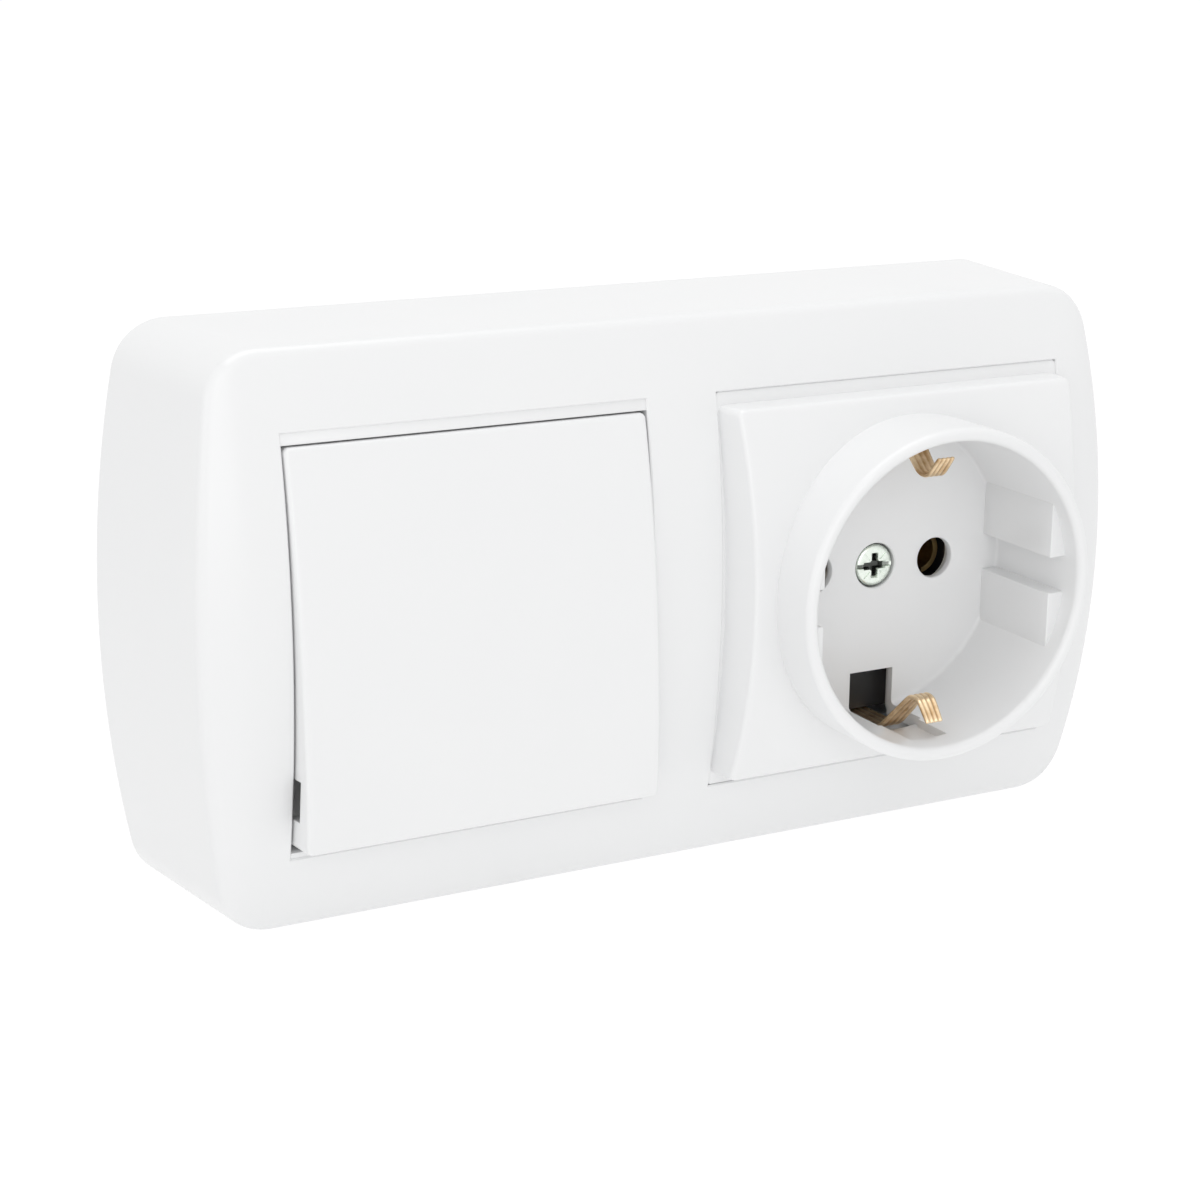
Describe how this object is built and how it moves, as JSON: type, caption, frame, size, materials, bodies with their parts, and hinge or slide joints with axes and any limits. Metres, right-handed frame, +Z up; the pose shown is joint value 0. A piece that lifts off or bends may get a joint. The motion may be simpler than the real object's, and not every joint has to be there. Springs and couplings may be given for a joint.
{
  "type": "switch and socket combination",
  "caption": "Surface-mounted wall unit with a rocker light switch beside a recessed earthed socket in one housing with bulged sides.",
  "frame": {"origin": "centre of the back of the base plate, on the wall plane", "axes": "+X to the right seen from the front, +Z up the wall, -Y out of the wall towards the user"},
  "size_m": [0.1364, 0.0411, 0.0716],
  "materials": {
    "white_gloss": "smooth glossy moulding",
    "grey_body": "matte moulding",
    "black_body": "matte moulding",
    "inner_white": "matte moulding",
    "contact_brass": "bright sheet",
    "earth_bronze": "bright spring sheet",
    "silver_tip": "polished",
    "zinc_steel": "zinc plated",
    "spring_steel": "drawn wire",
    "grommet_rubber": "soft moulding"
  },
  "bodies": {
    "base": {"base_plate": "inner_white", "cable_grommet": "grommet_rubber", "housing": "white_gloss", "switch_frame": "white_gloss", "switch_body": "grey_body", "common_terminal": "contact_brass", "load_terminal": "contact_brass", "fixed_tip": "silver_tip", "switch_terminal_screws": "zinc_steel", "socket_body": "black_body", "line_contact": "contact_brass", "neutral_contact": "contact_brass", "socket_terminal_screws": "zinc_steel", "earth_strap": "earth_bronze", "earth_screw": "zinc_steel", "centre_nut": "zinc_steel", "centre_screw": "zinc_steel", "recess_floor": "white_gloss", "socket_cover": "white_gloss", "insert_screws": "zinc_steel"},
    "rocker": {"rocker": "white_gloss", "rocker_carrier": "inner_white", "plunger": "inner_white", "plunger_spring": "spring_steel"},
    "contact_lever": {"contact_lever": "contact_brass", "moving_tip": "silver_tip"}
  },
  "joints": [
    {"name": "rocker_tilt", "type": "hinge", "parent": "base", "child": "rocker", "pos_m": [-0.03, -0.0225, 0], "axis": [1, 0, 0], "range_deg": [0, 11]},
    {"name": "contact_tilt", "type": "hinge", "parent": "base", "child": "contact_lever", "pos_m": [-0.03, -0.0099, 0], "axis": [1, 0, 0], "range_deg": [-11, 0]}
  ],
  "couplings": [
    {"joint": "contact_tilt", "follows": "rocker_tilt", "ratio": -1}
  ]
}
